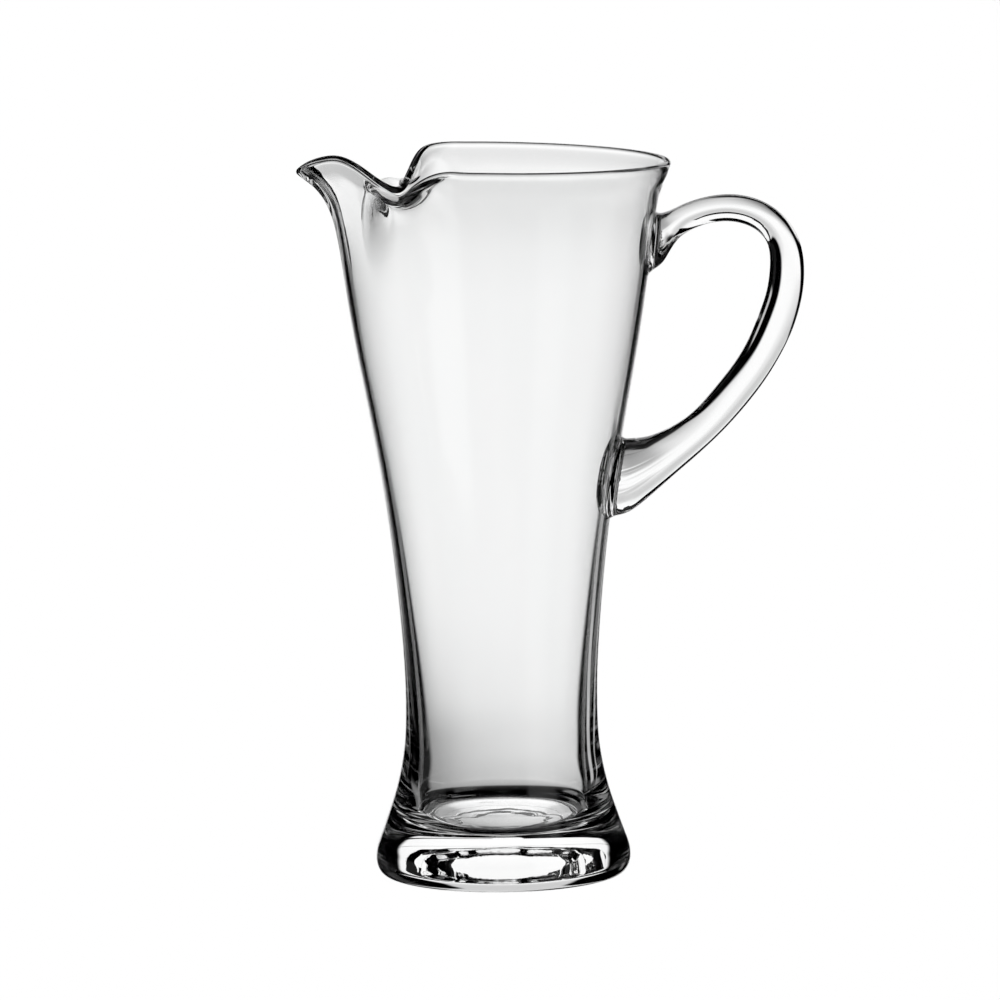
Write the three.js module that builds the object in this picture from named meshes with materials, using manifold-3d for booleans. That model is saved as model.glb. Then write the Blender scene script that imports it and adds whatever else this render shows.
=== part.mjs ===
// Clear glass water pitcher: a blown body with a solid foot, a folded ice lip and
// a pulled spout, and a drawn strap handle fused to its side.
// Millimetres, +Z up. The origin is the centre of the underside.
// The spout points to -X and the handle to +X.
import * as THREE from 'three';
import { mergeVertices } from 'three/addons/utils/BufferGeometryUtils.js';
import Module from 'manifold-3d';

// ---------------------------------------------------------------- dimensions
const HEEL_FLAT_R = 43.2;        // radius of the flat resting face
const HEEL_IN = 3.8;             // rounding from the resting face to the foot's edge: across
const HEEL_UP = 6.0;             // and up
const FLOOR_Z = 16.3;            // top of the solid glass in the foot
const FLOOR_R = 26.5;            // flat part of the inner floor
const CORNER_TOP_Z = 25.0;       // where the inner corner meets the wall
const CORNER_TOP_R = 32.3;
const WALL_TOP_Z = 190.0;        // below this the wall is a plain body of revolution
const RIM_Z = 263.3;             // middle of the rounded rim on the axis
const RIM_TILT = 0.0262;         // the rim rises towards the spout
const RIM_R = 63.1;              // middle of the rounded rim
const JOIN_GAP = 0.3;            // between the handle's pads and the wall

// outer radius by height
const OUTER = [
  [6, 47.0], [9, 46.73], [14, 45.12], [22, 42.28], [30, 39.65], [38, 37.63], [48, 36.01],
  [60, 35.4], [75, 35.59], [95, 36.87], [115, 38.81], [135, 41.28], [155, 44.4], [175, 48.05],
  [195, 51.75], [215, 54.95], [235, 57.75], [247, 59.35], [255, 61.4], [260, 63.5], [263.3, 64.45],
];
// wall thickness by height, measured level
const THICK = [
  [25, 8.98], [32, 7.2], [40, 6.0], [48, 5.1], [60, 4.25], [75, 3.6], [95, 3.07], [115, 2.76],
  [135, 2.53], [155, 2.4], [175, 2.33], [195, 2.28], [220, 2.25], [245, 2.4], [263.3, 2.7],
];
// middle of the rim by wall angle from the spout: x, y, height against the rim plane
const LIP = [
  [0, -71.2, 0, -5.0], [5, -70.2, 4.2, -4.4], [10, -67.3, 7.2, -2.9], [15, -63.0, 8.2, -1.5],
  [20, -58.2, 8.4, -1.0], [25, -53.8, 8.4, -2.2], [30, -49.6, 8.7, -4.6], [35, -45.8, 9.4, -7.4],
  [40, -42.2, 10.6, -10.0], [45, -38.8, 12.2, -11.9],
];
const FLAP_FAR = [
  [49, -36.2, 14.6, -12.7], [53, -34.2, 18.6, -12.3], [57, -32.5, 25.0, -10.2],
  [61, -30.7, 34.0, -7.0], [65, -28.5, 44.3, -3.2], [69, -25.4, 53.5, -0.7], [73, -20.2, 58.9, 0.0],
];
const FLAP_NEAR = [
  [49, -36.2, 14.6, -12.9], [53, -34.2, 19.3, -12.5], [57, -32.4, 26.5, -10.9],
  [61, -30.2, 36.2, -8.4], [65, -27.2, 46.4, -5.2], [69, -22.8, 54.6, -2.0], [73, -17.6, 59.8, -0.2],
];
const PLAIN_ANGLES = [79, 86, 95, 110, 130, 150, 170];
// height of the crease where each flap folds in, by wall angle
const CREASE = [[40, 253.9], [48.8, 251.6], [54, 250.6], [60, 251.7], [66.3, 255.4], [72.6, 259.6], [80, 262.4]];
const ROW_Z = [190, 206, 222, 234, 244, 252, 258.5, 263.3];

// handle: outer edge x, z, inner edge x, z, half width across
const STRAP = [
  [51.0, 241.6, 51.0, 221.6, 13.0], [56.0, 242.3, 55.9, 221.9, 11.2], [60.4, 243.0, 60.6, 224.7, 8.4],
  [63.3, 243.8, 63.4, 228.8, 7.3], [66.3, 245.1, 66.8, 233.6, 6.6], [69.9, 246.7, 71.3, 236.8, 6.3],
  [76.5, 248.7, 77.5, 239.1, 6.2], [84.9, 249.7, 84.8, 239.9, 6.2], [93.3, 248.6, 91.4, 238.6, 6.2],
  [101.3, 245.0, 96.1, 235.9, 6.2], [107.5, 239.1, 99.0, 232.2, 6.2], [111.3, 231.7, 100.1, 227.8, 6.2],
  [112.6, 222.9, 100.1, 222.3, 6.2], [111.8, 212.6, 98.9, 214.2, 6.2], [108.6, 201.2, 95.9, 205.4, 6.2],
  [103.8, 191.0, 91.8, 195.9, 6.2], [97.5, 180.9, 86.4, 187.1, 6.2], [89.7, 171.0, 79.7, 178.7, 6.2],
  [81.4, 162.1, 72.5, 170.7, 6.4], [72.7, 154.1, 65.1, 165.3, 6.9], [64.6, 147.2, 57.7, 161.9, 7.7],
  [57.5, 141.1, 52.2, 160.6, 8.9], [50.9, 135.7, 47.1, 160.3, 10.5], [45.3, 132.8, 41.9, 160.0, 13.0],
  [38.5, 131.8, 36.0, 160.0, 14.2],
];
const STRAP_SIDES = 14;          // corners of the handle's section
const STRAP_ROUND = 2.1;         // its loop side: 2 is an oval, more is squarer
const STRAP_SQUARE = 3.4;        // its outer side

// ---------------------------------------------------------------- curves
class Spline {
  // natural cubic spline, with a set slope at the start if one is given
  constructor(points, startSlope = null) {
    this.x = points.map((p) => p[0]);
    this.y = points.map((p) => p[1]);
    const { x, y } = this;
    const n = x.length;
    const a = new Array(n).fill(0), b = new Array(n).fill(1), c = new Array(n).fill(0), d = new Array(n).fill(0);
    if (startSlope !== null) {
      const h = x[1] - x[0];
      b[0] = 2 * h; c[0] = h; d[0] = 6 * ((y[1] - y[0]) / h - startSlope);
    }
    for (let i = 1; i < n - 1; i++) {
      const h0 = x[i] - x[i - 1], h1 = x[i + 1] - x[i];
      a[i] = h0; b[i] = 2 * (h0 + h1); c[i] = h1;
      d[i] = 6 * ((y[i + 1] - y[i]) / h1 - (y[i] - y[i - 1]) / h0);
    }
    for (let i = 1; i < n; i++) {
      const w = a[i] / b[i - 1];
      b[i] -= w * c[i - 1]; d[i] -= w * d[i - 1];
    }
    this.m = new Array(n).fill(0);
    this.m[n - 1] = d[n - 1] / b[n - 1];
    for (let i = n - 2; i >= 0; i--) this.m[i] = (d[i] - c[i] * this.m[i + 1]) / b[i];
  }
  at(t) {
    const { x, y, m } = this;
    let i = 0;
    while (i < x.length - 2 && t > x[i + 1]) i++;
    const h = x[i + 1] - x[i], a = (x[i + 1] - t) / h, b = (t - x[i]) / h;
    return a * y[i] + b * y[i + 1] + ((a ** 3 - a) * m[i] + (b ** 3 - b) * m[i + 1]) * h * h / 6;
  }
}
const outerR = new Spline(OUTER, 0);
const thick = new Spline(THICK);
const crease = new Spline(CREASE);
const midR = (z) => outerR.at(z) - thick.at(z) / 2;
const rad = THREE.MathUtils.degToRad;
const ease = (x, a, b) => THREE.MathUtils.smoothstep(x, a, b);

// a point in the middle of the plain wall; the angle counts from the spout
const wall = (deg, z, out = 0) => {
  const r = (z < 263 ? midR(z) : RIM_R) + out;
  return new THREE.Vector3(-r * Math.cos(rad(deg)), r * Math.sin(rad(deg)), z);
};
const mix = (p, q, t) => p.clone().lerp(q, t);

// control points of one half's column, from the plain wall up to the rim
function column(deg, lip) {
  const plain = ROW_Z.map((z) => wall(deg, z));
  if (!lip) return { plain, bent: plain };
  const end = new THREE.Vector3(lip[1], lip[2], RIM_Z + lip[3]);
  // the spout's sides rise in one smooth bend
  const foot = wall(deg, 222);
  const knee = wall(deg, 246 - 4 * ease(deg, 5, 25), 3.2 * Math.exp(-((deg / 13) ** 2)));
  const bend = (t) => new THREE.Vector3()
    .addScaledVector(foot, (1 - t) ** 2).addScaledVector(knee, 2 * t * (1 - t)).addScaledVector(end, t * t);
  let row = [plain[0], plain[1], foot, bend(0.3), bend(0.55), bend(0.76), bend(0.9), end];
  // the pouring edge turns outwards
  const c = Math.cos(rad(deg)), s = Math.sin(rad(deg));
  const tip = [plain[0], plain[1], foot, wall(deg, 234), wall(deg, 243, 0.6),
    new THREE.Vector3(-62.2 * c, 62.2 * s, 250.8), new THREE.Vector3(-66.6 * c, 53.3 * s, 255.2), end];
  row = row.map((p, i) => mix(p, tip[i], 1 - ease(deg, 4, 22)));
  // the flaps fold in over a crease
  const zc = crease.at(Math.min(Math.max(deg, 40), 80));
  const corner = wall(deg, Math.min(zc, 261), 0.9).setZ(zc + 1.0);
  const reach = corner.distanceTo(end);
  const flap = [plain[0], plain[1], plain[2], wall(deg, zc - 16.5), wall(deg, zc - 7.5), corner,
    mix(corner, end, Math.min(0.45, 8.5 / reach)), end];
  row = row.map((p, i) => mix(p, flap[i], ease(deg, 33, 50)));
  row = row.map((p, i) => (i === 7 ? end : mix(p, plain[i], ease(deg, 66, 79))));
  return { plain, bent: row };
}

// how far each control point leaves the plain wall, as splines round the body
const knots = [];
for (const deg of [...PLAIN_ANGLES].reverse()) knots.push([-deg, column(deg, null), -1]);
for (const lip of [...FLAP_NEAR].reverse()) knots.push([-lip[0], column(lip[0], lip), -1]);
for (const lip of [...LIP].slice(1).reverse()) knots.push([-lip[0], column(lip[0], lip), -1]);
for (const lip of [...LIP, ...FLAP_FAR]) knots.push([lip[0], column(lip[0], lip), 1]);
for (const deg of PLAIN_ANGLES) knots.push([deg, column(deg, null), 1]);
const shift = ROW_Z.map((_, j) => ['x', 'y', 'z'].map((key) => new Spline(knots.map(([deg, col, side]) =>
  [deg, (col.bent[j][key] - col.plain[j][key]) * (key === 'y' ? side : 1)]))));

// clamped cubic B-spline weights
const SPAN = ROW_Z.length - 3;
const KNOT = [0, 0, 0, ...Array.from({ length: SPAN + 1 }, (_, i) => i), SPAN, SPAN, SPAN];
const weight = (i, p, t) => {
  if (p === 0) return (KNOT[i] <= t && t < KNOT[i + 1]) || (t === SPAN && KNOT[i] < t && t <= KNOT[i + 1]) ? 1 : 0;
  let v = 0;
  if (KNOT[i + p] > KNOT[i]) v += (t - KNOT[i]) / (KNOT[i + p] - KNOT[i]) * weight(i, p - 1, t);
  if (KNOT[i + p + 1] > KNOT[i + 1]) v += (KNOT[i + p + 1] - t) / (KNOT[i + p + 1] - KNOT[i + 1]) * weight(i + 1, p - 1, t);
  return v;
};
// middle of the wall above WALL_TOP_Z: angle from the spout, and t from 0 to SPAN at the rim
function middle(deg, t) {
  const w = ROW_Z.map((_, j) => weight(j, 3, t));
  const z = w.reduce((sum, v, j) => sum + v * ROW_Z[j], 0);
  const p = wall(deg, Math.min(z, 262.999)).setZ(z);
  if (Math.abs(deg) < 170) {
    const d = [0, 1, 2].map((k) => w.reduce((sum, v, j) => sum + v * shift[j][k].at(deg), 0));
    p.add(new THREE.Vector3(d[0], d[1], d[2]));
  }
  p.z -= RIM_TILT * p.x * ease(p.z, WALL_TOP_Z, 263);
  return { p, z };
}
function frameAt(deg, t) {
  const { p, z } = middle(deg, t);
  const dt = 0.01, lo = Math.max(t - dt, 0), hi = Math.min(t + dt, SPAN);
  const up = middle(deg, hi).p.sub(middle(deg, lo).p).normalize();
  const round = middle(deg + 0.2, t).p.sub(middle(deg - 0.2, t).p).normalize();
  const out = up.clone().cross(round).normalize();
  const slope = (outerR.at(Math.min(z, 263) + 0.1) - outerR.at(Math.min(z, 263) - 0.1)) / 0.2;
  const half = thick.at(z) * Math.cos(Math.atan(slope)) / 2;
  return { p, up, out, half };
}

// ---------------------------------------------------------------- body
const half = [5, 10, 15, 20, 25, 30, 35, 40, 44.5, 48, 51.5, 55, 58.5, 62, 65.5, 69, 73, 79, 87, 97, 109, 122, 136, 150, 165];
const columns = [...half.map((d) => -d).reverse(), 0, ...half, 180];
const rise = [0.9, 1.8, 2.5, 3.0, 3.4, 3.7, 4.0, 4.3, 4.65, 5];
const outerZ = [9, 14, 20, 27, 36, 47, 60, 76, 96, 120, 145, 168];
const innerZ = [168, 145, 120, 96, 76, 60, 47, 36, 29];

const ring = (deg, r, z) => new THREE.Vector3(-r * Math.cos(rad(deg)), r * Math.sin(rad(deg)), z);
function bodyColumn(deg) {
  const line = [];
  line.push(ring(deg, 18, 0), ring(deg, 32, 0), ring(deg, HEEL_FLAT_R, 0));
  for (const a of [30, 60, 90]) {
    line.push(ring(deg, HEEL_FLAT_R + HEEL_IN * Math.sin(rad(a)), HEEL_UP * (1 - Math.cos(rad(a)))));
  }
  for (const z of outerZ) line.push(ring(deg, outerR.at(z), z));
  const top = [0, ...rise].map((t) => frameAt(deg, t));
  for (const f of top) line.push(f.p.clone().addScaledVector(f.out, f.half));
  const rim = top[top.length - 1];
  for (const a of [45, 90, 135]) {
    line.push(rim.p.clone().addScaledVector(rim.out, rim.half * Math.cos(rad(a))).addScaledVector(rim.up, rim.half * Math.sin(rad(a))));
  }
  for (const f of [...top].reverse()) line.push(f.p.clone().addScaledVector(f.out, -f.half));
  for (const z of innerZ) line.push(ring(deg, outerR.at(z) - thick.at(z), z));
  for (const a of [90, 60, 30, 0]) {
    line.push(ring(deg, FLOOR_R + (CORNER_TOP_R - FLOOR_R) * Math.sin(rad(a)), CORNER_TOP_Z - (CORNER_TOP_Z - FLOOR_Z) * Math.cos(rad(a))));
  }
  return line;
}
function bodyGeometry() {
  const cols = columns.map(bodyColumn);
  const n = cols.length, m = cols[0].length;
  const pos = [0, 0, 0, 0, 0, FLOOR_Z];
  for (const col of cols) for (const p of col) pos.push(p.x, p.y, p.z);
  const id = (i, j) => 2 + (i % n) * m + j;
  const tri = [];
  for (let i = 0; i < n; i++) {
    tri.push(0, id(i, 0), id(i + 1, 0));
    for (let j = 0; j < m - 1; j++) {
      tri.push(id(i, j), id(i, j + 1), id(i + 1, j), id(i, j + 1), id(i + 1, j + 1), id(i + 1, j));
    }
    tri.push(1, id(i + 1, m - 1), id(i, m - 1));
  }
  const g = new THREE.BufferGeometry();
  g.setAttribute('position', new THREE.Float32BufferAttribute(pos, 3));
  g.setIndex(tri);
  return g;
}

// ---------------------------------------------------------------- handle
function strapGeometry() {
  // sections along the strap, each a rounded outline square to its line
  const line = STRAP.map((_, i) => i);
  const curve = [0, 1, 2, 3, 4].map((k) => new Spline(STRAP.map((s, i) => [i, s[k]])));
  const steps = [];
  for (const i of line) { steps.push(i); if (i > 7 && i < 12) steps.push(i + 0.5); }
  const pos = [], tri = [];
  for (const t of steps) {
    const [ox, oz, ix, iz, w] = curve.map((c) => c.at(t));
    for (let k = 0; k < STRAP_SIDES; k++) {
      const a = 2 * Math.PI * k / STRAP_SIDES;
      const c = Math.cos(a), s = Math.sin(a);
      const e = 2 / (c < 0 ? STRAP_ROUND : STRAP_SQUARE);
      const u = Math.sign(c) * Math.abs(c) ** e;
      const v = Math.sign(s) * Math.abs(s) ** e;
      pos.push((ox + ix) / 2 + (ox - ix) / 2 * u, w * v, (oz + iz) / 2 + (oz - iz) / 2 * u);
    }
  }
  const n = STRAP_SIDES, m = steps.length;
  for (let i = 0; i < m - 1; i++) for (let k = 0; k < n; k++) {
    const a = i * n + k, b = i * n + (k + 1) % n, c = a + n, d = b + n;
    tri.push(a, c, b, b, c, d);
  }
  for (let k = 1; k < n - 1; k++) {
    tri.push(0, k, k + 1);
    tri.push((m - 1) * n, (m - 1) * n + k + 1, (m - 1) * n + k);
  }
  const g = new THREE.BufferGeometry();
  g.setAttribute('position', new THREE.Float32BufferAttribute(pos, 3));
  g.setIndex(tri);
  return g;
}
// the wall's outer form, grown by the gap, that shapes the pads
function wallForm() {
  const pts = [new THREE.Vector2(0, 110)];
  for (let z = 110; z <= 256; z += 3) pts.push(new THREE.Vector2(outerR.at(z) + JOIN_GAP + 0.04, z));
  pts.push(new THREE.Vector2(0, 256));
  return new THREE.LatheGeometry(pts, 120).rotateX(Math.PI / 2);
}

function volume(g) {
  const p = g.attributes.position, ix = g.index;
  const a = new THREE.Vector3(), b = new THREE.Vector3(), c = new THREE.Vector3();
  let v = 0;
  for (let i = 0; i < ix.count; i += 3) {
    a.fromBufferAttribute(p, ix.getX(i)); b.fromBufferAttribute(p, ix.getX(i + 1)); c.fromBufferAttribute(p, ix.getX(i + 2));
    v += a.dot(b.cross(c)) / 6;
  }
  return v;
}
function facingOut(g) {
  if (volume(g) < 0) {
    const ix = g.index;
    for (let i = 0; i < ix.count; i += 3) { const t = ix.getX(i + 1); ix.setX(i + 1, ix.getX(i + 2)); ix.setX(i + 2, t); }
  }
  return g;
}

const wasm = await Module();
wasm.setup();
function solid(geometry) {
  const g = geometry.clone();
  for (const name of Object.keys(g.attributes)) if (name !== 'position') g.deleteAttribute(name);
  const m = facingOut(mergeVertices(g, 1e-4));
  // triangles that closed up to a line are dropped
  const tri = [];
  for (let i = 0; i < m.index.count; i += 3) {
    const [a, b, c] = [m.index.getX(i), m.index.getX(i + 1), m.index.getX(i + 2)];
    if (a !== b && b !== c && c !== a) tri.push(a, b, c);
  }
  return new wasm.Manifold(new wasm.Mesh({
    numProp: 3, vertProperties: new Float32Array(m.attributes.position.array), triVerts: new Uint32Array(tri),
  }));
}
function geometryOf(manifold) {
  const mesh = manifold.getMesh();
  const g = new THREE.BufferGeometry();
  g.setAttribute('position', new THREE.Float32BufferAttribute(mesh.vertProperties, 3));
  g.setIndex(new THREE.Uint32BufferAttribute(mesh.triVerts, 1));
  g.computeVertexNormals();
  return g;
}

const clear = () => new THREE.MeshStandardMaterial({
  color: 0xf3f6f6, roughness: 0.03, metalness: 0, transparent: true, opacity: 0.35,
});

const body = new THREE.Mesh(facingOut(bodyGeometry()), clear());
body.name = 'body';
body.geometry.computeVertexNormals();

const handle = new THREE.Mesh(geometryOf(solid(strapGeometry()).subtract(solid(wallForm()))), clear());
handle.name = 'handle';

const pitcher = new THREE.Group();
pitcher.name = 'pitcher';
pitcher.add(body, handle);
export default pitcher;
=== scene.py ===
"""Clear glass water pitcher: a blown body with a solid foot, a folded ice lip and a
pulled spout, and a drawn strap handle fused to its side. Metres, +Z up, spout to -X."""
import math

import bpy
import numpy as np
from mathutils import Matrix


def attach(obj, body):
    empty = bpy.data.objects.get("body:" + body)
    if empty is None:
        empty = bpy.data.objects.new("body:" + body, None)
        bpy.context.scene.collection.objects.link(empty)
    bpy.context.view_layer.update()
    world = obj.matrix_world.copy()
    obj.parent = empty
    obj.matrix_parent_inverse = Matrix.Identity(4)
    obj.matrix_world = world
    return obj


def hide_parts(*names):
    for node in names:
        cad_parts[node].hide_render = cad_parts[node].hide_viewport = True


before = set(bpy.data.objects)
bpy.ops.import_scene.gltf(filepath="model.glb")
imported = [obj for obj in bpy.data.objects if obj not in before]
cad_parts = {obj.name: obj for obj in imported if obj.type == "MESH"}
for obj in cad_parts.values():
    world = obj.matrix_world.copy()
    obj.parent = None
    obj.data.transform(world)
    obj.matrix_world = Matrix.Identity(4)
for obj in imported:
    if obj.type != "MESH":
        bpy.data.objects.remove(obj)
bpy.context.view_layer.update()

MM = 0.001

# ------------------------------------------------------------------ dimensions, mm
HEEL_FLAT_R, HEEL_IN, HEEL_UP = 43.2, 3.8, 6.0
FLOOR_Z, FLOOR_R = 16.2, 26.5
CORNER_TOP_Z, CORNER_TOP_R = 25.0, 32.3
WALL_TOP_Z, RIM_Z, RIM_TILT, RIM_R = 190.0, 263.3, 0.0262, 63.1

# outer radius and level wall thickness by height
OUTER = [
    (6, 47.0), (9, 46.73), (14, 45.12), (22, 42.28), (30, 39.65), (38, 37.63), (48, 36.01),
    (60, 35.4), (75, 35.59), (95, 36.87), (115, 38.81), (135, 41.28), (155, 44.4), (175, 48.05),
    (195, 51.75), (215, 54.95), (235, 57.75), (247, 59.35), (255, 61.4), (260, 63.5), (263.3, 64.45),
]
THICK = [
    (25, 8.98), (32, 7.2), (40, 6.0), (48, 5.1), (60, 4.25), (75, 3.6), (95, 3.07), (115, 2.76),
    (135, 2.53), (155, 2.4), (175, 2.33), (195, 2.28), (220, 2.25), (245, 2.4), (263.3, 2.7),
]
# middle of the rim by wall angle from the spout: x, y, height against the rim plane
LIP = [
    (0, -71.2, 0, -5.0), (5, -70.2, 4.2, -4.4), (10, -67.3, 7.2, -2.9), (15, -63.0, 8.2, -1.5),
    (20, -58.2, 8.4, -1.0), (25, -53.8, 8.4, -2.2), (30, -49.6, 8.7, -4.6), (35, -45.8, 9.4, -7.4),
    (40, -42.2, 10.6, -10.0), (45, -38.8, 12.2, -11.9),
]
FLAP_FAR = [
    (49, -36.2, 14.6, -12.7), (53, -34.2, 18.6, -12.3), (57, -32.5, 25.0, -10.2),
    (61, -30.7, 34.0, -7.0), (65, -28.5, 44.3, -3.2), (69, -25.4, 53.5, -0.7), (73, -20.2, 58.9, 0.0),
]
FLAP_NEAR = [
    (49, -36.2, 14.6, -12.9), (53, -34.2, 19.3, -12.5), (57, -32.4, 26.5, -10.9),
    (61, -30.2, 36.2, -8.4), (65, -27.2, 46.4, -5.2), (69, -22.8, 54.6, -2.0), (73, -17.6, 59.8, -0.2),
]
PLAIN_ANGLES = (79, 86, 95, 110, 130, 150, 170)
CREASE = [(40, 253.9), (48.8, 251.6), (54, 250.6), (60, 251.7), (66.3, 255.4), (72.6, 259.6), (80, 262.4)]
ROW_Z = np.array([190, 206, 222, 234, 244, 252, 258.5, 263.3])

# handle: outer edge x, z, inner edge x, z, half width across
STRAP = [
    (51.0, 241.6, 51.0, 221.6, 9.6), (56.0, 242.3, 55.9, 221.9, 9.0), (60.4, 243.0, 60.6, 224.7, 8.0),
    (63.3, 243.8, 63.4, 228.8, 7.2), (66.3, 245.1, 66.8, 233.6, 6.6), (69.9, 246.7, 71.3, 236.8, 6.3),
    (76.5, 248.7, 77.5, 239.1, 6.2), (84.9, 249.7, 84.8, 239.9, 6.2), (93.3, 248.6, 91.4, 238.6, 6.2),
    (101.3, 245.0, 96.1, 235.9, 6.2), (107.5, 239.1, 99.0, 232.2, 6.2), (111.3, 231.7, 100.1, 227.8, 6.2),
    (112.6, 222.9, 100.1, 222.3, 6.2), (111.8, 212.6, 98.9, 214.2, 6.2), (108.6, 201.2, 95.9, 205.4, 6.2),
    (103.8, 191.0, 91.8, 195.9, 6.2), (97.5, 180.9, 86.4, 187.1, 6.2), (89.7, 171.0, 79.7, 178.7, 6.2),
    (81.4, 162.1, 72.5, 170.7, 6.4), (72.7, 154.1, 65.1, 165.3, 6.9), (64.6, 147.2, 57.7, 161.9, 7.7),
    (57.5, 141.1, 52.2, 160.6, 8.9), (50.9, 135.7, 47.1, 160.3, 10.2), (45.3, 132.8, 41.9, 160.0, 11.2),
    (38.5, 131.8, 36.0, 160.0, 11.6),
]
# section of its loop side and, along the strap, of its outer side: 2 is an oval, more is squarer
STRAP_ROUND = 2.1
STRAP_SQUARE = [(0, 2.8), (4, 2.8), (8, 2.8), (12, 4.2), (16, 4.0), (20, 3.5), (24, 3.2)]
PAD_SINK = 0.2            # the pads melt this far into the wall


# ------------------------------------------------------------------ curves
class Spline:
    """Natural cubic spline, with a set slope at the start if one is given."""

    def __init__(self, points, slope=None):
        self.x = np.array([p[0] for p in points], float)
        self.y = np.array([p[1] for p in points], float)
        x, y, n = self.x, self.y, len(points)
        a, d = np.zeros((n, n)), np.zeros(n)
        a[0, 0] = a[-1, -1] = 1
        if slope is not None:
            h = x[1] - x[0]
            a[0, 0], a[0, 1], d[0] = 2 * h, h, 6 * ((y[1] - y[0]) / h - slope)
        for i in range(1, n - 1):
            h0, h1 = x[i] - x[i - 1], x[i + 1] - x[i]
            a[i, i - 1:i + 2] = h0, 2 * (h0 + h1), h1
            d[i] = 6 * ((y[i + 1] - y[i]) / h1 - (y[i] - y[i - 1]) / h0)
        self.m = np.linalg.solve(a, d)

    def __call__(self, t):
        t = np.asarray(t, float)
        x, y, m = self.x, self.y, self.m
        i = np.clip(np.searchsorted(x, t, side="left") - 1, 0, len(x) - 2)
        h = x[i + 1] - x[i]
        a, b = (x[i + 1] - t) / h, (t - x[i]) / h
        return a * y[i] + b * y[i + 1] + ((a ** 3 - a) * m[i] + (b ** 3 - b) * m[i + 1]) * h * h / 6


outer_r, thick, crease = Spline(OUTER, 0), Spline(THICK), Spline(CREASE)


def mid_r(z):
    return outer_r(z) - thick(z) / 2


def ease(x, a, b):
    t = np.clip((np.asarray(x, float) - a) / (b - a), 0, 1)
    return t * t * (3 - 2 * t)


def wall(deg, z, out=0.0):
    """A point in the middle of the plain wall; the angle counts from the spout."""
    r = (float(mid_r(z)) if z < 263 else RIM_R) + out
    return np.array([-r * math.cos(math.radians(deg)), r * math.sin(math.radians(deg)), z])


def mix(p, q, t):
    return p + (q - p) * float(t)


def column(deg, lip):
    """Control points of one half's column, from the plain wall up to the rim."""
    plain = [wall(deg, z) for z in ROW_Z]
    if lip is None:
        return plain, plain
    end = np.array([lip[1], lip[2], RIM_Z + lip[3]])
    # the spout's sides rise in one smooth bend
    foot = wall(deg, 222)
    knee = wall(deg, 246 - 4 * float(ease(deg, 5, 25)), 3.2 * math.exp(-((deg / 13) ** 2)))
    bend = lambda t: foot * (1 - t) ** 2 + knee * 2 * t * (1 - t) + end * t * t
    row = [plain[0], plain[1], foot, bend(0.3), bend(0.55), bend(0.76), bend(0.9), end]
    # the pouring edge turns outwards
    c, s = math.cos(math.radians(deg)), math.sin(math.radians(deg))
    tip = [plain[0], plain[1], foot, wall(deg, 234), wall(deg, 243, 0.6),
           np.array([-62.2 * c, 62.2 * s, 250.8]), np.array([-66.6 * c, 53.3 * s, 255.2]), end]
    row = [mix(p, q, 1 - ease(deg, 4, 22)) for p, q in zip(row, tip)]
    # the flaps fold in over a crease
    zc = float(crease(min(max(deg, 40), 80)))
    corner = wall(deg, min(zc, 261), 0.9)
    corner[2] = zc + 1.0
    reach = float(np.linalg.norm(corner - end))
    flap = [plain[0], plain[1], plain[2], wall(deg, zc - 16.5), wall(deg, zc - 7.5), corner,
            mix(corner, end, min(0.45, 8.5 / reach)), end]
    row = [mix(p, q, ease(deg, 33, 50)) for p, q in zip(row, flap)]
    row = [end if i == 7 else mix(p, plain[i], ease(deg, 66, 79)) for i, p in enumerate(row)]
    return plain, row


# how far each control point leaves the plain wall, as splines round the body
knots = [(-d, column(d, None), -1) for d in reversed(PLAIN_ANGLES)]
knots += [(-q[0], column(q[0], q), -1) for q in reversed(FLAP_NEAR)]
knots += [(-q[0], column(q[0], q), -1) for q in reversed(LIP[1:])]
knots += [(q[0], column(q[0], q), 1) for q in LIP + FLAP_FAR]
knots += [(d, column(d, None), 1) for d in PLAIN_ANGLES]
shift = [[Spline([(d, (bent[j][k] - plain[j][k]) * (side if k == 1 else 1)) for d, (plain, bent), side in knots])
          for k in range(3)] for j in range(len(ROW_Z))]

SPAN = len(ROW_Z) - 3
KNOT = [0, 0, 0] + list(range(SPAN + 1)) + [SPAN] * 3


def weight(i, p, t):
    """Clamped cubic B-spline weight."""
    if p == 0:
        return 1.0 if KNOT[i] <= t < KNOT[i + 1] or (t == SPAN and KNOT[i] < t <= KNOT[i + 1]) else 0.0
    v = 0.0
    if KNOT[i + p] > KNOT[i]:
        v += (t - KNOT[i]) / (KNOT[i + p] - KNOT[i]) * weight(i, p - 1, t)
    if KNOT[i + p + 1] > KNOT[i + 1]:
        v += (KNOT[i + p + 1] - t) / (KNOT[i + p + 1] - KNOT[i + 1]) * weight(i + 1, p - 1, t)
    return v


def middle(deg, ts):
    """Middle of the wall above WALL_TOP_Z, as a grid [angle, t] of points, and the plain heights."""
    deg = np.asarray(deg, float)
    w = np.array([[weight(j, 3, t) for j in range(len(ROW_Z))] for t in ts])
    z = w @ ROW_Z
    zz = np.minimum(z, 262.999)
    r = mid_r(zz)
    rad = np.radians(deg)[:, None]
    p = np.stack([-r * np.cos(rad), r * np.sin(rad), np.broadcast_to(z, (len(deg), len(ts)))], -1)
    side = (deg + 180) % 360 - 180
    near = (np.abs(side) < 170)[:, None]
    move = np.stack([np.stack([shift[j][k](side) for j in range(len(ROW_Z))], 1) @ w.T for k in range(3)], -1)
    p = p + np.where(near[..., None], move, 0)
    p[..., 2] -= RIM_TILT * p[..., 0] * ease(p[..., 2], WALL_TOP_Z, 263)
    return p, z


def unit(v):
    return v / np.linalg.norm(v, axis=-1, keepdims=True)


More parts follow.
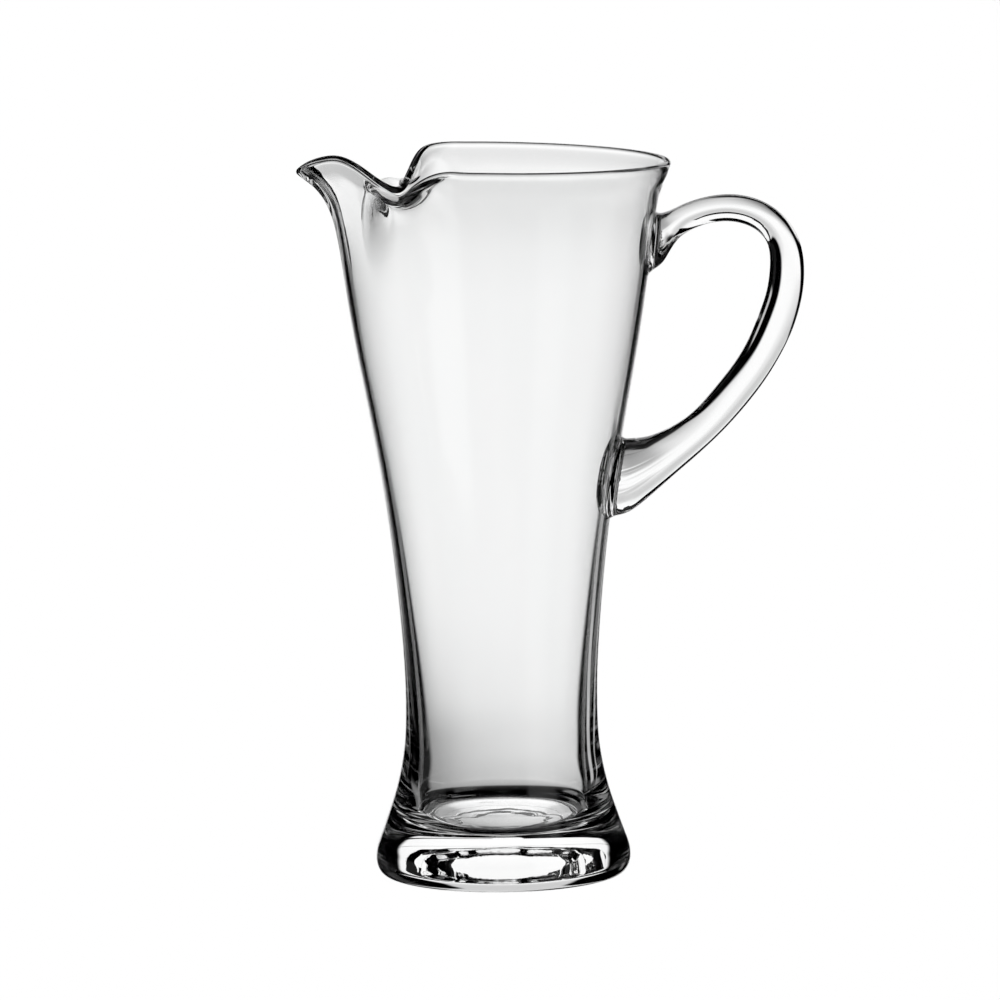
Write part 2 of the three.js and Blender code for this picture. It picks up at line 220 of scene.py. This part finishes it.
def upper_wall(deg, ts):
    """Outer face, inner face and the frame at the rim, as grids [angle, t]."""
    ts = np.asarray(ts, float)
    p, z = middle(deg, ts)
    up = unit(middle(deg, np.minimum(ts + 0.01, SPAN))[0] - middle(deg, np.maximum(ts - 0.01, 0))[0])
    turn = unit(middle(deg + 0.2, ts)[0] - middle(deg - 0.2, ts)[0])
    out = unit(np.cross(up, turn))
    zz = np.minimum(z, 263)
    slope = (outer_r(zz + 0.1) - outer_r(zz - 0.1)) / 0.2
    half = (thick(z) * np.cos(np.arctan(slope)) / 2)[None, :, None]
    return p + out * half, p - out * half, (p[:, -1], up[:, -1], out[:, -1], float(half[0, -1, 0]))


def grid_mesh(name, rows, closed, caps):
    """A mesh from points [row, column, xyz] in mm, closed round the columns, with fans at both ends."""
    m, n = rows.shape[:2]
    co = rows.reshape(-1, 3)
    i, j = np.meshgrid(np.arange(m - 1), np.arange(n if closed else n - 1), indexing="ij")
    k = (j + 1) % n
    faces = np.stack([i * n + j, i * n + k, (i + 1) * n + k, (i + 1) * n + j], -1).reshape(-1, 4).tolist()
    extra = []
    for cap, row, flip in caps:
        at = len(co) + len(extra)
        extra.append(cap)
        for q in range(n):
            a, b = row * n + q, row * n + (q + 1) % n
            faces.append((at, a, b) if flip else (at, b, a))
    if extra:
        co = np.concatenate([co, np.array(extra)])
    # the faces point out of the glass
    tri = np.array([(f[0], f[q], f[q + 1]) for f in faces for q in range(1, len(f) - 1)])
    if np.einsum("ij,ij->", co[tri[:, 0]], np.cross(co[tri[:, 1]], co[tri[:, 2]])) < 0:
        faces = [tuple(reversed(f)) for f in faces]
    me = bpy.data.meshes.new(name)
    me.from_pydata((co * MM).tolist(), [], faces)
    me.validate()
    me.update()
    me.polygons.foreach_set("use_smooth", [True] * len(me.polygons))
    ob = bpy.data.objects.new(name, me)
    bpy.context.scene.collection.objects.link(ob)
    return ob


# ------------------------------------------------------------------ body
angles = np.arange(0, 360, 1.0)
ang = np.radians(angles)


def ring(r, z):
    r = np.broadcast_to(r, ang.shape)
    return np.stack([-r * np.cos(ang), r * np.sin(ang), np.broadcast_to(z, ang.shape)], -1)


def wobble(*waves):
    """A closed wavy line round the axis, from (count, size, phase) of its waves."""
    return sum(size * np.sin(count * ang + phase) for count, size, phase in waves)


# two wavy grooves, left in the underside where it was flattened hot: radius, half width, depth
GROOVES = [
    (23.4 + wobble((1, -1.4, 0.3), (4, 0.8, 1.571), (2, 0.9, 1.1), (3, 0.5, 0.4), (7, 0.4, 2.0), (12, 0.25, 0.3), (19, 0.2, 1.1)),
     1.0 + wobble((5, 0.2, 0.2), (11, 0.15, 1.9)), 1.1),
    (18.0 + wobble((1, -0.8, 0.0), (4, 0.7, 1.571), (2, 0.9, 2.6), (5, 0.6, 1.3), (9, 0.4, 0.1), (14, 0.3, 2.2), (22, 0.2, 0.7)),
     1.5 + wobble((3, 0.4, 1.0), (8, 0.35, 2.4)), 1.6),
]


def underside(r):
    """How far the underside rises at radius r, round the body."""
    z = np.zeros_like(ang)
    for at, half, deep in GROOVES:
        t = np.clip(np.abs(r - at) / half, 0, 1)
        z += deep * (1 - t * t) ** 2
    return z


def floor_z(r):
    """The inner floor: a shallow dish with faint rings."""
    return FLOOR_Z + 0.036 * (math.hypot(r, 2) - 2) + 0.01 * math.sin(r * 1.9) * min(r / 8, 1) * max(0, 1 - r / FLOOR_R)


# the heel is rounder at the sides than at the back
heel_in = HEEL_IN - 2.0 * np.clip(np.sin(ang), 0, 1) ** 1.5
heel_up = HEEL_UP - 1.5 * np.clip(np.sin(ang), 0, 1) ** 1.5


body_rows = []
for r in np.concatenate([np.arange(0.8, 7, 0.8), np.arange(7, 28, 0.35), np.arange(28, 43, 1.0)]):
    body_rows.append(ring(r, underside(r)))
for a in np.radians(np.arange(0, 91, 5)):
    body_rows.append(ring(HEEL_FLAT_R + HEEL_IN - heel_in * (1 - math.sin(a)), heel_up * (1 - math.cos(a)) + (HEEL_UP - heel_up) * (a / math.pi * 2) ** 2))
for z in np.concatenate([np.arange(6.5, 60, 0.75), np.arange(60, 126, 2.0), np.arange(126, 168, 0.8), np.arange(168, 190, 2.0)]):
    body_rows.append(ring(float(outer_r(z)), z))
t_up = np.concatenate([np.arange(0, 1.2, 0.12), np.arange(1.2, 5.001, 0.052)])
t_up = np.minimum(t_up, SPAN)
outside, inside, (rim_p, rim_up, rim_out, rim_h) = upper_wall(angles, t_up)
for k in range(len(t_up)):
    body_rows.append(outside[:, k])
for a in np.radians(np.arange(12, 180, 12)):
    body_rows.append(rim_p + rim_out * rim_h * math.cos(a) + rim_up * rim_h * math.sin(a))
for k in range(len(t_up) - 1, -1, -1):
    body_rows.append(inside[:, k])
for z in np.concatenate([np.arange(188, 60, -2.0), np.arange(60, 25.1, -0.75)]):
    body_rows.append(ring(float(outer_r(z) - thick(z)), z))
floor_edge = floor_z(FLOOR_R)
for a in np.radians(np.arange(90, -1, -4)):
    body_rows.append(ring(FLOOR_R + (CORNER_TOP_R - FLOOR_R) * math.sin(a),
                          CORNER_TOP_Z - (CORNER_TOP_Z - floor_edge) * math.cos(a)))
for r in np.arange(FLOOR_R - 0.5, 0.6, -0.5):
    body_rows.append(ring(r, floor_z(r)))
body_rows = np.array(body_rows)
body = grid_mesh("glass_body", body_rows, True, [
    ((0, 0, 0), 0, False), ((0, 0, floor_z(0)), len(body_rows) - 1, True)])

# ------------------------------------------------------------------ handle
curve = [Spline(list(enumerate(q[k] for q in STRAP))) for k in range(5)]
SIDES = 288


def section(phi, square):
    """The strap's section, from -1 to 1 each way: round towards the loop, squarer outside."""
    c, s = np.cos(phi), np.sin(phi)
    e = 2 / np.where(c < 0, STRAP_ROUND, square)
    return np.sign(c) * np.abs(c) ** e, np.sign(s) * np.abs(s) ** e


# points at even steps round the section
turn = np.linspace(0, 2 * math.pi, 4001)
su, sv = section(turn, 3.2)
run = np.concatenate([[0], np.cumsum(np.hypot(np.diff(su), np.diff(sv)))])
phi = np.interp((np.arange(SIDES) + 0.5) / SIDES * run[-1], run, turn)
square = Spline(STRAP_SQUARE)


def drawn(t, u, v):
    """Lines drawn along the strap, strongest next to the pads, mm."""
    near = 0.055 * math.exp(-((t - 23.4) / 2.2) ** 2) + 0.03 * math.exp(-((t - 1.0) / 1.8) ** 2) + 0.003
    fan = u * (1 + 0.05 * math.sin(0.7 * t))
    lines = np.sin(17.0 * fan + 0.6 + 0.12 * t) + 0.9 * np.sin(29.0 * fan + 2.1 - 0.2 * t) + 0.8 * np.sin(47.0 * fan + 0.9 + 0.1 * t)
    lines = lines * (0.55 + 0.45 * np.clip(-u, 0, 1) + 0.3 * np.clip(u, 0, 1) ** 3)
    # finer lines along the inside of the bend
    bend = 0.035 * math.exp(-((t - 7.5) / 3.0) ** 2) * np.exp(-((u + 0.55) / 0.3) ** 2)
    lines = near * lines + bend * np.sin(24.0 * u + 0.5 * t)
    return lines * np.abs(v) ** 2 * (1 - np.abs(u) ** 6)


def strap_ring(t):
    ox, oz, ix, iz, w = (float(c(t)) for c in curve)
    u, v = section(phi, float(square(t)))
    return np.stack([(ox + ix) / 2 + (ox - ix) / 2 * u, w * v + np.sign(v) * drawn(t, u, v),
                     (oz + iz) / 2 + (oz - iz) / 2 * u], -1)


def depth(p):
    """How far a point lies outside the sunk wall, level."""
    return np.hypot(p[..., 0], p[..., 1]) - (outer_r(p[..., 2]) - PAD_SINK)


fine = np.linspace(0, len(STRAP) - 1, 1201)
line = np.array([strap_ring(t) for t in fine])          # [t, side, xyz]
free = depth(line) > 0
t0, t1 = np.zeros(SIDES), np.zeros(SIDES)
for k in range(SIDES):
    on = np.nonzero(free[:, k])[0]
    a, b = on[0], on[-1]
    d = depth(line[[a - 1, a], k])
    t0[k] = fine[a - 1] + (fine[a] - fine[a - 1]) * d[0] / (d[0] - d[1])
    d = depth(line[[b, b + 1], k])
    t1[k] = fine[b] + (fine[b + 1] - fine[b]) * d[0] / (d[0] - d[1])
STEPS = 230
part = np.linspace(0, 1, STEPS)
handle_rows = np.stack([np.stack([np.interp(t0[k] + (t1[k] - t0[k]) * part, fine, line[:, k, c]) for c in range(3)], -1)
                        for k in range(SIDES)], 1)
handle_rows = list(handle_rows)
# next to the wall the strap spreads out over it
for rows, end, wide, deep in ((handle_rows[:40], handle_rows[0], 4.5, 2.6), (handle_rows[-40:], handle_rows[-1], 4.5, 2.6)):
    mid = end.mean(0)
    half_w = np.abs(end[:, 1]).max()
    half_z = np.ptp(end[:, 2]) / 2
    for q in rows:
        d = depth(q)
        melt = np.clip(1 - d / deep, 0, 1) ** 2.2
        side = np.clip(q[:, 1] / half_w, -1, 1)
        q[:, 1] += wide * melt * side
        q[:, 2] += 1.2 * melt * np.clip((q[:, 2] - mid[2]) / half_z, -1, 1) * (1 - 0.5 * np.abs(side))
        r = outer_r(q[:, 2]) - PAD_SINK + d
        q[:, 0] = np.where(melt > 0, np.sqrt(r * r - q[:, 1] ** 2), q[:, 0])


def pad(edge, steps):
    """Rings of the pad's face, from its edge to its middle, on the sunk wall."""
    az, z = np.arctan2(edge[:, 1], edge[:, 0]), edge[:, 2]
    rings = []
    for f in np.linspace(1, 0, steps)[1:]:
        za, aa = z.mean() + (z - z.mean()) * f, az.mean() + (az - az.mean()) * f
        r = outer_r(za) - PAD_SINK
        rings.append(np.stack([r * np.cos(aa), r * np.sin(aa), za], -1))
    return rings


top_edge, low_edge = handle_rows[0], handle_rows[-1]
top_pad, low_pad = pad(top_edge, 10), pad(low_edge, 10)
handle_rows = np.array(top_pad[-2::-1] + handle_rows + low_pad[:-1])
handle = grid_mesh("glass_handle", handle_rows, True, [
    (top_pad[-1][0], 0, False), (low_pad[-1][0], len(handle_rows) - 1, True)])


# ------------------------------------------------------------------ glass
def glass(name, streak):
    """Clear glass with faint waves, drawn out along the piece by the streak scales."""
    mat = bpy.data.materials.new(name)
    mat.use_nodes = True
    nt = mat.node_tree
    sh = nt.nodes["Principled BSDF"]
    sh.inputs["Roughness"].default_value = 0.0
    sh.inputs["IOR"].default_value = 1.5
    sh.inputs["Transmission Weight"].default_value = 1.0
    tex = nt.nodes.new("ShaderNodeTexCoord")
    at = nt.nodes.new("ShaderNodeMapping")
    at.inputs["Scale"].default_value = streak
    nt.links.new(tex.outputs["Object"], at.inputs["Vector"])
    wave = nt.nodes.new("ShaderNodeTexNoise")
    wave.inputs["Scale"].default_value = 1.0
    wave.inputs["Detail"].default_value = 2.0
    nt.links.new(at.outputs["Vector"], wave.inputs["Vector"])
    bump = nt.nodes.new("ShaderNodeBump")
    bump.inputs["Strength"].default_value = 1.0
    bump.inputs["Distance"].default_value = 0.000006
    nt.links.new(wave.outputs["Fac"], bump.inputs["Height"])
    nt.links.new(bump.outputs["Normal"], sh.inputs["Normal"])
    tint = nt.nodes.new("ShaderNodeValToRGB")
    tint.color_ramp.elements[0].position, tint.color_ramp.elements[0].color = 0.3, (0.985, 0.99, 0.99, 1)
    tint.color_ramp.elements[1].position, tint.color_ramp.elements[1].color = 0.7, (1, 1, 1, 1)
    nt.links.new(wave.outputs["Fac"], tint.inputs["Fac"])
    nt.links.new(tint.outputs["Color"], sh.inputs["Base Color"])
    return mat


def joint_glass(name):
    """Where the two pieces are fused there is no surface left, and light goes straight on."""
    mat = bpy.data.materials.new(name)
    mat.use_nodes = True
    nt = mat.node_tree
    nt.nodes.clear()
    out = nt.nodes.new("ShaderNodeOutputMaterial")
    sh = nt.nodes.new("ShaderNodeBsdfTransparent")
    nt.links.new(sh.outputs[0], out.inputs[0])
    return mat


def within(az, z, edge, scale):
    """Which of the points lie inside a pad's edge, by angle and height."""
    ea, ez = np.arctan2(edge[:, 1], edge[:, 0]), edge[:, 2]
    ea, ez = ea.mean() + (ea - ea.mean()) * scale, ez.mean() + (ez - ez.mean()) * scale
    inside = np.zeros(len(az), bool)
    for k in range(len(ea)):
        a0, z0, a1, z1 = ea[k - 1], ez[k - 1], ea[k], ez[k]
        if z0 != z1:
            inside ^= ((z0 > z) != (z1 > z)) & (az < a0 + (z - z0) * (a1 - a0) / (z1 - z0))
    return inside


def face_middles(ob):
    me = ob.data
    c = np.zeros(len(me.polygons) * 3)
    me.polygons.foreach_get("center", c)
    return c.reshape(-1, 3) / MM


body.data.materials.append(glass("clear_glass_body", (70, 70, 12)))
handle.data.materials.append(glass("clear_glass_handle", (60, 240, 60)))
c = face_middles(body)
r, az = np.hypot(c[:, 0], c[:, 1]), np.arctan2(c[:, 1], c[:, 0])
fused = np.zeros(len(c), bool)
for edge in (top_edge, low_edge):
    fused |= within(az, c[:, 2], edge, 0.96)
fused &= (r > outer_r(np.clip(c[:, 2], 6, 263)) - 0.6) & (c[:, 0] > 0)
body.data.materials.append(joint_glass("fused_joint"))
body.data.polygons.foreach_set("material_index", fused.astype(np.int32))
fused = depth(face_middles(handle)) < 0.03
handle.data.materials.append(body.data.materials[1])
handle.data.polygons.foreach_set("material_index", fused.astype(np.int32))
for piece, node, slot in ((body, "body", "body_glass"), (handle, "handle", "handle_glass")):
    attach(piece, "root")
    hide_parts(node)


# ------------------------------------------------------------------ floor and surroundings
def emitter(name, strength):
    mat = bpy.data.materials.new(name)
    mat.use_nodes = True
    nt = mat.node_tree
    nt.nodes.clear()
    out = nt.nodes.new("ShaderNodeOutputMaterial")
    em = nt.nodes.new("ShaderNodeEmission")
    em.inputs["Strength"].default_value = strength
    nt.links.new(em.outputs[0], out.inputs[0])
    return mat


def plate(name, corners, mat):
    me = bpy.data.meshes.new(name)
    me.from_pydata(corners, [], [(0, 1, 2, 3)])
    ob = bpy.data.objects.new(name, me)
    ob.data.materials.append(mat)
    bpy.context.scene.collection.objects.link(ob)
    return ob


floor = plate("floor", [(-8, -4, -0.0005), (8, -4, -0.0005), (8, 12, -0.0005), (-8, 12, -0.0005)], emitter("floor_white", 1.0))
floor.visible_transmission = floor.visible_glossy = floor.visible_diffuse = floor.visible_shadow = False

# black flags behind the pitcher, which give the handle its dark outline and the spout its dark edge
for name, x0, x1, y, z0, z1 in (("flag_left", -0.7, -0.055, 0.45, 0.275, 0.8), ("flag_bar", 0.03, 0.5, 0.45, 0.295, 0.325),
                               ("flag_top", 0.03, 0.5, 0.45, 0.45, 0.9), ("flag_spout", -0.4, -0.071, 0.12, 0.165, 0.275)):
    slant = 0.012 if name == "flag_spout" else 0
    flag = plate(name, [(x0, y, z0), (x1 - slant, y, z0), (x1, y, z1), (x0, y, z1)], emitter(name, 0.0))
    if slant:  # clear to rays more than 36 degrees off straight back, so that it stays out of the other views
        tree = flag.data.materials[0].node_tree
        out = next(n for n in tree.nodes if n.type == "OUTPUT_MATERIAL")
        black = out.inputs["Surface"].links[0].from_socket
        geo, dot, less, clear, mix = [tree.nodes.new(t) for t in (
            "ShaderNodeNewGeometry", "ShaderNodeVectorMath", "ShaderNodeMath", "ShaderNodeBsdfTransparent", "ShaderNodeMixShader")]
        dot.operation, less.operation = "DOT_PRODUCT", "LESS_THAN"
        dot.inputs[1].default_value = (1, 0.7265, 0)
        less.inputs[1].default_value = 0
        tree.links.new(geo.outputs["Incoming"], dot.inputs[0])
        tree.links.new(dot.outputs["Value"], less.inputs[0])
        tree.links.new(less.outputs[0], mix.inputs[0])
        tree.links.new(clear.outputs[0], mix.inputs[1])
        tree.links.new(black, mix.inputs[2])
        tree.links.new(mix.outputs[0], out.inputs["Surface"])
    flag.visible_camera = flag.visible_diffuse = flag.visible_shadow = False

world = bpy.data.worlds.new("studio")
bpy.context.scene.world = world
world.use_nodes = True
nt = world.node_tree
nt.nodes.clear()
N, L = nt.nodes.new, nt.links.new


def math_node(op, a, b=None, c=None, clamp=False):
    n = N("ShaderNodeMath")
    n.operation = op
    n.use_clamp = clamp
    for i, v in enumerate((a, b, c)):
        if v is None:
            continue
        if isinstance(v, (int, float)):
            n.inputs[i].default_value = v
        else:
            L(v, n.inputs[i])
    return n.outputs[0]


def curve_node(value, points):
    """A smooth curve through (input, output) points."""
    lo, hi = points[0][0], points[-1][0]
    n = N("ShaderNodeFloatCurve")
    c = n.mapping.curves[0]
    pts = [((x - lo) / (hi - lo), y) for x, y in points]
    c.points[0].location, c.points[1].location = pts[0], pts[-1]
    for q in pts[1:-1]:
        c.points.new(*q)
    n.mapping.update()
    L(math_node("DIVIDE", math_node("SUBTRACT", value, lo), hi - lo, clamp=True), n.inputs["Value"])
    return n.outputs[0]


tex = N("ShaderNodeTexCoord")
xyz = N("ShaderNodeSeparateXYZ")
L(tex.outputs["Generated"], xyz.inputs[0])
DEG = 180 / math.pi
azimuth = math_node("MULTIPLY", math_node("ARCTAN2", xyz.outputs[0], xyz.outputs[1]), DEG)   # 0 at the back, + to the right
height = math_node("MULTIPLY", math_node("ARCSINE", xyz.outputs[2]), DEG)


def ramp(value, soft):
    """0 to 1 as value goes through 0, over a soft edge."""
    n = N("ShaderNodeMapRange")
    n.interpolation_type = "SMOOTHSTEP"
    L(value, n.inputs["Value"])
    n.inputs["From Min"].default_value = -soft / 2
    n.inputs["From Max"].default_value = soft / 2
    return n.outputs["Result"]


def band(value, centre, half, soft):
    """1 inside a band, falling to 0 over its soft edge."""
    off = math_node("ABSOLUTE", math_node("WRAP", math_node("SUBTRACT", value, centre), 180, -180))
    return ramp(math_node("SUBTRACT", half, off), soft)


# a white panel behind the pitcher, little wider than the pitcher itself, between black sides
left = curve_node(height, [(-90, .145), (-20, .145), (-14, .15), (-10, .165), (-6, .18), (-2, .21), (2, .24), (6, .3), (11, .42), (15, .5), (30, .5), (90, .5)])
right = curve_node(height, [(-90, .22), (-26, .22), (-20, .195), (-16, .17), (-12, .145), (-6, .14), (-2, .14), (2, .17), (6, .26), (11, .42), (15, .5), (30, .5), (90, .5)])
level = curve_node(height, [(-90, 0), (-45, .01), (-39, .03), (-37, .1), (-35.5, .3), (-34, .44), (-30, .54), (-26, .6), (-22, .68), (-18, .74), (-14, .82), (-11, .9),
                            (-8, .93), (-6.5, .93), (-5.5, .86), (-4.5, .78), (-2, .68), (2, .58), (6, .65), (10, .85), (14, .93), (40, .93), (44, .8), (50, .1), (56, .02), (90, .02)])
light = math_node("MULTIPLY", ramp(math_node("ADD", azimuth, math_node("MULTIPLY", left, 90)), 4.0),
                  ramp(math_node("SUBTRACT", math_node("MULTIPLY", right, 90), azimuth), 4.0))
light = math_node("MULTIPLY", light, math_node("MULTIPLY", level, 1.15))
# its left part is dimmer towards the table
low = ramp(math_node("SUBTRACT", -12.5, height), 8)
dim = math_node("SUBTRACT", 1, math_node("MULTIPLY", math_node("MULTIPLY", low, ramp(math_node("SUBTRACT", -4, azimuth), 16)), 0.55))
light = math_node("MULTIPLY", light, dim)
# a strip light overhead, and a small panel low on the right
for at, half, low_edge, high_edge, soft in ((0, 35, 59, 82, 8), (37, 4.5, -22, -13, 3)):
    part = math_node("MULTIPLY", band(azimuth, at, half, soft), band(height, (low_edge + high_edge) / 2, (high_edge - low_edge) / 2, soft))
    light = math_node("MAXIMUM", light, math_node("MULTIPLY", part, 1.25 if low_edge > 0 else 0.6))
# the same panel again, behind the pitcher as seen from its other sides, weaker in reflections
path = N("ShaderNodeLightPath")
mirrored = math_node("SUBTRACT", path.outputs["Ray Depth"], path.outputs["Transmission Depth"])
weak = math_node("SUBTRACT", 1, math_node("MULTIPLY", math_node("GREATER_THAN", mirrored, 1.5), 0.75))
for at, half, low_edge, high_edge, bright in ((-45, 13, -60, -21.5, 1), (-90, 13, -28, 8, 1), (135, 13, -34, -11, 1), (135, 16, 6, 26, 2.4)):
    side = math_node("MULTIPLY", band(azimuth, at, half, 8), band(height, (low_edge + high_edge) / 2, (high_edge - low_edge) / 2, 6))
    light = math_node("MAXIMUM", light, math_node("MULTIPLY", math_node("MULTIPLY", side, bright), weak))
strength = math_node("MAXIMUM", light, path.outputs["Is Camera Ray"])
bg = N("ShaderNodeBackground")
bg.inputs["Color"].default_value = (1, 1, 1, 1)
L(strength, bg.inputs["Strength"])
wout = N("ShaderNodeOutputWorld")
L(bg.outputs[0], wout.inputs[0])
world.cycles.sampling_method = "NONE"

# ------------------------------------------------------------------ camera
cam = bpy.data.cameras.new("camera")
cam.lens = 36 * 7.5084
cam.sensor_width = 36
cam.shift_x = 0.00111
cam.clip_start, cam.clip_end = 0.05, 100
camera = bpy.data.objects.new("camera", cam)
bpy.context.scene.collection.objects.link(camera)
camera.matrix_world = (Matrix.Translation((0, -2.7305, 0.5138))
                       @ Matrix.Rotation(math.pi / 2 - 0.1367, 4, "X") @ Matrix.Rotation(-0.0132, 4, "Z"))
scene = bpy.context.scene
scene.camera = camera
scene.view_settings.view_transform = "Standard"
scene.cycles.max_bounces = 24
scene.cycles.transmission_bounces = 24
scene.cycles.glossy_bounces = 24
scene.cycles.use_denoising = True
scene.cycles.denoising_input_passes = "RGB"

bpy.context.view_layer.update()
